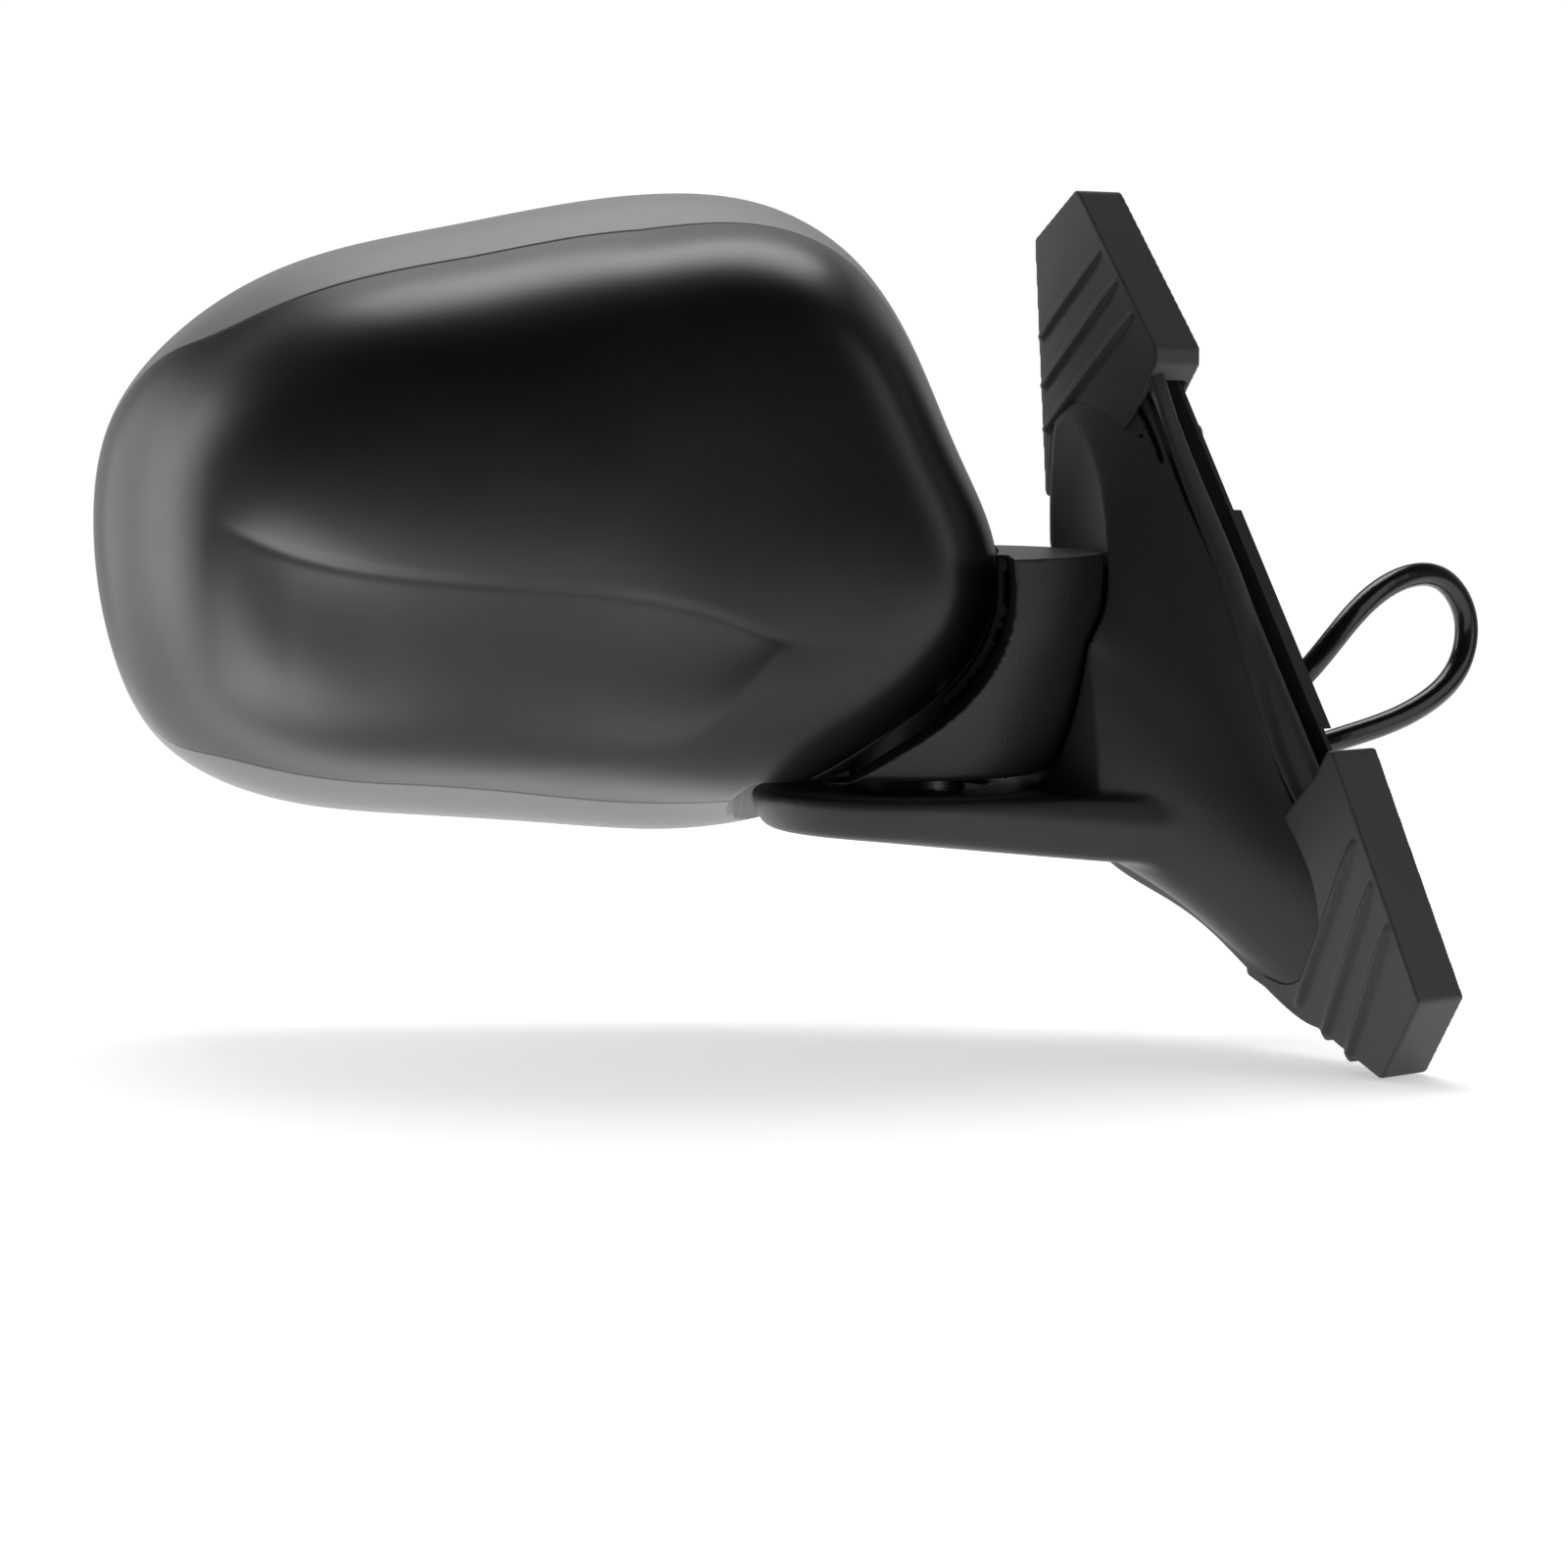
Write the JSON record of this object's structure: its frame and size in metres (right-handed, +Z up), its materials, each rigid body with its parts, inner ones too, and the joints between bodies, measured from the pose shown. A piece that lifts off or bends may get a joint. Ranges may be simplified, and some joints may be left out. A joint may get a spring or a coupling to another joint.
{
  "type": "car door mirror",
  "caption": "Folding power door mirror: swept head with cap, bezel and tilting heated glass on a sprung pivot, flared door base with studs, soft corner guards and wire harness.",
  "frame": {"origin": "a point on the flat door face, level with the fold axis of the head", "axes": "+X inboard, the outward normal of the door face; +Y to the rear of the car; +Z up"},
  "size_m": [0.298, 0.2871, 0.2116],
  "materials": {
    "textured_black": "satin",
    "bezel_grey": "satin",
    "grained_black": "fine grain",
    "matte_black": "matte",
    "glass_filled_nylon": "matte",
    "acetal": "smooth",
    "case_grey": "matte",
    "die_cast": "as cast",
    "zinc_steel": "zinc plated",
    "spring_steel": "oiled",
    "motor_can": "plated",
    "gasket_foam": "foam",
    "soft_guard": "matte",
    "grommet_rubber": "matte",
    "vinyl_black": "gloss",
    "connector_white": "satin",
    "heater_film": "film",
    "mirror_silver": "mirror"
  },
  "bodies": {
    "base": {"base_cover": "matte_black", "base_bracket": "die_cast", "pivot_shaft": "zinc_steel", "detent_ring": "spring_steel", "pivot_screws": "zinc_steel", "pivot_spring": "spring_steel", "spring_retainer": "spring_steel", "cover_screws": "zinc_steel", "mount_studs": "zinc_steel", "mount_gasket": "gasket_foam", "wire_harness": "vinyl_black", "harness_grommet": "grommet_rubber", "harness_connector": "connector_white", "protector_upper": "soft_guard", "protector_lower": "soft_guard"},
    "head": {"cap": "textured_black", "bezel": "bezel_grey", "neck_cover": "grained_black", "head_bracket": "glass_filled_nylon", "pivot_bush": "acetal", "bezel_screws": "zinc_steel", "actuator_case_rear": "case_grey", "actuator_case_front": "case_grey", "case_screws": "zinc_steel", "motor_yaw": "motor_can", "motor_pitch": "motor_can", "head_wires": "vinyl_black"},
    "gimbal": {"gimbal_ring": "glass_filled_nylon"},
    "glass": {"glass_holder": "matte_black", "heater_pad": "heater_film", "mirror_glass": "mirror_silver", "heater_terminals": "zinc_steel"},
    "jack_yaw": {"yaw_screw": "acetal"},
    "jack_pitch": {"pitch_screw": "acetal"},
    "wheel_yaw": {"yaw_gear": "acetal"},
    "wheel_pitch": {"pitch_gear": "acetal"},
    "worm_yaw": {"yaw_worm": "acetal"},
    "worm_pitch": {"pitch_worm": "acetal"}
  },
  "joints": [
    {"name": "fold", "type": "hinge", "parent": "base", "child": "head", "pos_m": [-0.065, 0, 0], "axis": [0, 0, 1], "range_deg": [-35, 56]},
    {"name": "glass_yaw", "type": "hinge", "parent": "head", "child": "gimbal", "pos_m": [-0.12716, 0.07606, 0.042], "axis": [0, 0, 1], "range_deg": [-6, 6]},
    {"name": "glass_pitch", "type": "hinge", "parent": "gimbal", "child": "glass", "pos_m": [-0.12716, 0.07606, 0.042], "axis": [0.809, -0.5878, 0], "range_deg": [-6, 6]},
    {"name": "yaw_jack", "type": "slide", "parent": "head", "child": "jack_yaw", "axis": [0.5878, 0.809, 0], "range_m": [-0.00293, 0.00293]},
    {"name": "pitch_jack", "type": "slide", "parent": "head", "child": "jack_pitch", "axis": [0.5878, 0.809, 0], "range_m": [-0.00293, 0.00293]},
    {"name": "yaw_wheel_spin", "type": "hinge", "parent": "head", "child": "wheel_yaw", "pos_m": [-0.1159, 0.04563, 0.042], "axis": [0.5878, 0.809, 0], "range_deg": [-340.3, 340.3]},
    {"name": "pitch_wheel_spin", "type": "hinge", "parent": "head", "child": "wheel_pitch", "pos_m": [-0.13774, 0.0615, 0.015], "axis": [0.5878, 0.809, 0], "range_deg": [-340.3, 340.3]},
    {"name": "yaw_worm_spin", "type": "hinge", "parent": "head", "child": "worm_yaw", "pos_m": [-0.12577, 0.0528, 0.042], "axis": [0, 0, 1], "range_deg": [-6117, 6117]},
    {"name": "pitch_worm_spin", "type": "hinge", "parent": "head", "child": "worm_pitch", "pos_m": [-0.13774, 0.0615, 0.0272], "axis": [0.809, -0.5878, 0], "range_deg": [-6117, 6117]}
  ],
  "couplings": [
    {"joint": "yaw_jack", "follows": "glass_yaw", "m_per_rad": 0.027},
    {"joint": "pitch_jack", "follows": "glass_pitch", "m_per_rad": 0.027},
    {"joint": "yaw_wheel_spin", "follows": "glass_yaw", "ratio": 56.549},
    {"joint": "pitch_wheel_spin", "follows": "glass_pitch", "ratio": 56.549},
    {"joint": "yaw_worm_spin", "follows": "glass_yaw", "ratio": 1017.9},
    {"joint": "pitch_worm_spin", "follows": "glass_pitch", "ratio": 1017.9}
  ]
}
